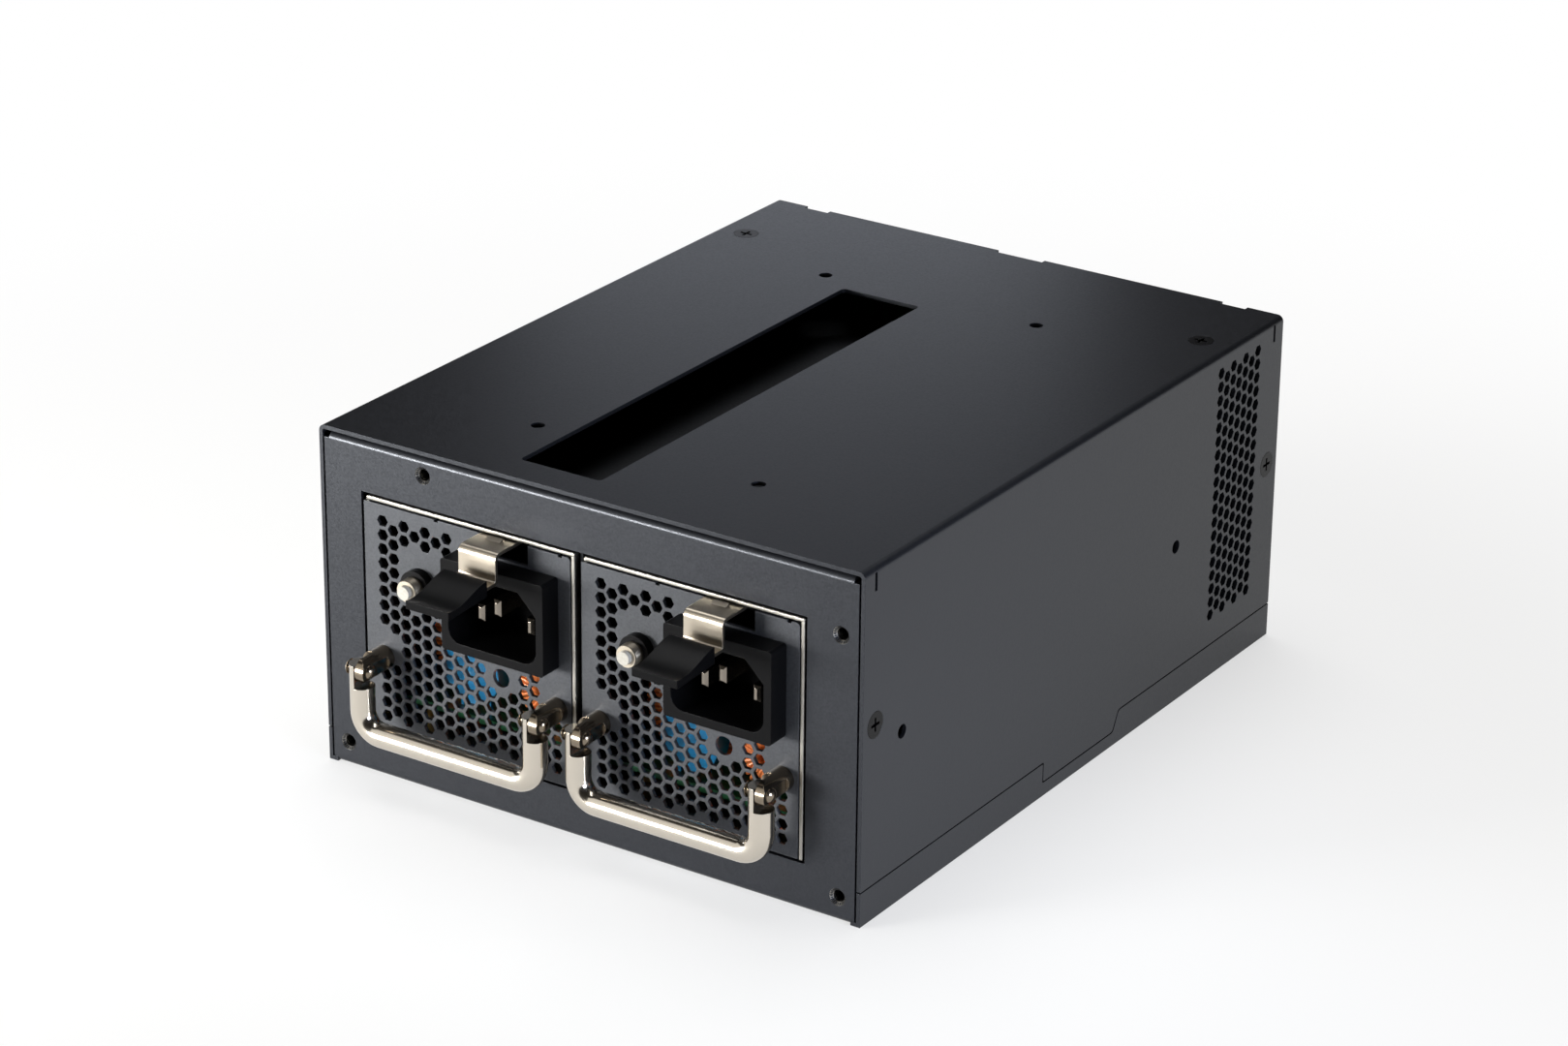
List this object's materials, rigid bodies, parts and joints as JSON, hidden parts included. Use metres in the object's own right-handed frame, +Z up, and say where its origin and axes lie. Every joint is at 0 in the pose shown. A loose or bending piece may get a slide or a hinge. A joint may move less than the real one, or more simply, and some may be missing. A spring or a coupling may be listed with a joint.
{
  "type": "redundant power supply",
  "caption": "Black box power supply with twin hot-swap modules side by side, each with a mains inlet, perforated panel, wire pull handle, latch and reset button.",
  "frame": {"origin": "under the middle of the chassis floor", "axes": "+X to the right seen from the front, +Y from the front face to the rear, +Z up"},
  "size_m": [0.15, 0.217, 0.086],
  "materials": {
    "chassis_paint": "fine satin black powder coat",
    "cage_paint": "plain black",
    "panel_paint": "satin black",
    "black_screw": "black oxide",
    "plated_steel": "bright nickel plate",
    "blade_metal": "nickel plate",
    "bush_metal": "plated, fine thread",
    "moulded_black": "moulded",
    "button_grey": "moulded",
    "board_green": "solder mask",
    "capacitor_sleeve": "shrink sleeve",
    "varistor_blue": "epoxy dip",
    "copper_wire": "enamelled",
    "ferrite": "ferrite and tape",
    "sink_aluminium": "extruded",
    "standoff_brass": "turned"
  },
  "bodies": {
    "chassis": {"chassis_tray": "chassis_paint", "top_cover": "chassis_paint", "cover_screws": "black_screw", "cover_brackets": "cage_paint", "bay_cage": "cage_paint", "distribution_board": "board_green", "board_sockets": "moulded_black", "output_capacitors": "capacitor_sleeve", "alarm_buzzer": "moulded_black", "outlet_grommet": "moulded_black"},
    "left_module": {"left_module_case": "plated_steel", "left_module_lid": "plated_steel", "left_lid_screws": "plated_steel", "left_module_panel": "panel_paint", "left_inlet_housing": "moulded_black", "left_inlet_blades": "blade_metal", "left_reset_switch": "bush_metal", "left_reset_nut": "moulded_black", "left_handle_posts": "plated_steel", "left_handle_pins": "plated_steel", "left_module_board": "board_green", "left_board_standoffs": "standoff_brass", "left_varistor": "varistor_blue", "left_input_choke": "copper_wire", "left_bulk_capacitor": "capacitor_sleeve", "left_transformer": "ferrite", "left_heat_sinks": "sink_aluminium", "left_fan_frame": "moulded_black"},
    "left_handle_body": {"left_handle": "plated_steel"},
    "left_latch_body": {"left_latch_spring": "plated_steel", "left_latch_tab": "moulded_black"},
    "left_reset_body": {"left_reset_button": "button_grey"},
    "left_fan_body": {"left_fan_rotor": "moulded_black"},
    "right_module": {"right_module_case": "plated_steel", "right_module_lid": "plated_steel", "right_lid_screws": "plated_steel", "right_module_panel": "panel_paint", "right_inlet_housing": "moulded_black", "right_inlet_blades": "blade_metal", "right_reset_switch": "bush_metal", "right_reset_nut": "moulded_black", "right_handle_posts": "plated_steel", "right_handle_pins": "plated_steel", "right_module_board": "board_green", "right_board_standoffs": "standoff_brass", "right_varistor": "varistor_blue", "right_input_choke": "copper_wire", "right_bulk_capacitor": "capacitor_sleeve", "right_transformer": "ferrite", "right_heat_sinks": "sink_aluminium", "right_fan_frame": "moulded_black"},
    "right_handle_body": {"right_handle": "plated_steel"},
    "right_latch_body": {"right_latch_spring": "plated_steel", "right_latch_tab": "moulded_black"},
    "right_reset_body": {"right_reset_button": "button_grey"},
    "right_fan_body": {"right_fan_rotor": "moulded_black"}
  },
  "joints": [
    {"name": "left_module_slide", "type": "slide", "parent": "chassis", "child": "left_module", "axis": [0, -1, 0], "range_m": [0, 0.15]},
    {"name": "left_handle_swing", "type": "hinge", "parent": "left_module", "child": "left_handle_body", "pos_m": [-0.0326, -0.1035, 0.0313], "axis": [-1, 0, 0], "range_deg": [-10, 110]},
    {"name": "left_latch_press", "type": "hinge", "parent": "left_module", "child": "left_latch_body", "pos_m": [-0.0234, -0.075, 0.0697], "axis": [1, 0, 0], "range_deg": [0, 6], "stiffness_Nm_per_rad": 1.2},
    {"name": "left_reset_press", "type": "slide", "parent": "left_module", "child": "left_reset_body", "axis": [0, 1, 0], "range_m": [0, 0.0012], "stiffness_N_per_m": 800},
    {"name": "left_fan_spin", "type": "hinge", "parent": "left_module", "child": "left_fan_body", "pos_m": [-0.0324, 0.045, 0.0501], "axis": [0, 1, 0], "continuous": true},
    {"name": "right_module_slide", "type": "slide", "parent": "chassis", "child": "right_module", "axis": [0, -1, 0], "range_m": [0, 0.15]},
    {"name": "right_handle_swing", "type": "hinge", "parent": "right_module", "child": "right_handle_body", "pos_m": [0.0293, -0.1035, 0.0313], "axis": [-1, 0, 0], "range_deg": [-10, 110]},
    {"name": "right_latch_press", "type": "hinge", "parent": "right_module", "child": "right_latch_body", "pos_m": [0.0385, -0.075, 0.0697], "axis": [1, 0, 0], "range_deg": [0, 6], "stiffness_Nm_per_rad": 1.2},
    {"name": "right_reset_press", "type": "slide", "parent": "right_module", "child": "right_reset_body", "axis": [0, 1, 0], "range_m": [0, 0.0012], "stiffness_N_per_m": 800},
    {"name": "right_fan_spin", "type": "hinge", "parent": "right_module", "child": "right_fan_body", "pos_m": [0.0295, 0.045, 0.0501], "axis": [0, 1, 0], "continuous": true}
  ]
}
